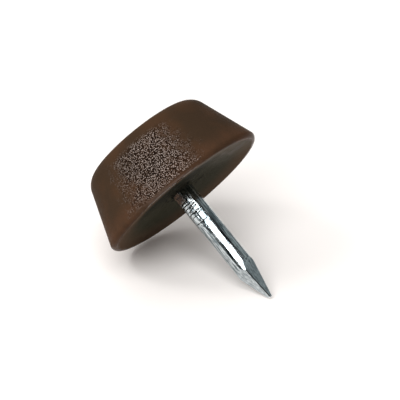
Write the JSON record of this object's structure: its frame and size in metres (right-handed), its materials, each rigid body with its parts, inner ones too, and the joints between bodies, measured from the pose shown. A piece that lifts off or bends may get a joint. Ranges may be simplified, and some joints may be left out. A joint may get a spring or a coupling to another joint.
{
  "type": "nail-on furniture glide",
  "caption": "Round nail-on furniture glide: a tapered moulded plastic head with a wire nail set in its dished side, to drive into a wooden leg.",
  "frame": {"origin": "centre of the head's bearing face, which stands on the floor", "axes": "+Z along the nail from the bearing face to the point; the nail's die marks lie in the plane at 45 degrees between +X and -Y"},
  "size_m": [0.025, 0.025, 0.0285],
  "materials": {
    "head_plastic": "dark brown moulded plastic, fine grained sheen",
    "nail_steel": "bright zinc-plated steel wire"
  },
  "bodies": {
    "root": {"glide_head": "head_plastic", "nail": "nail_steel"}
  },
  "joints": []
}
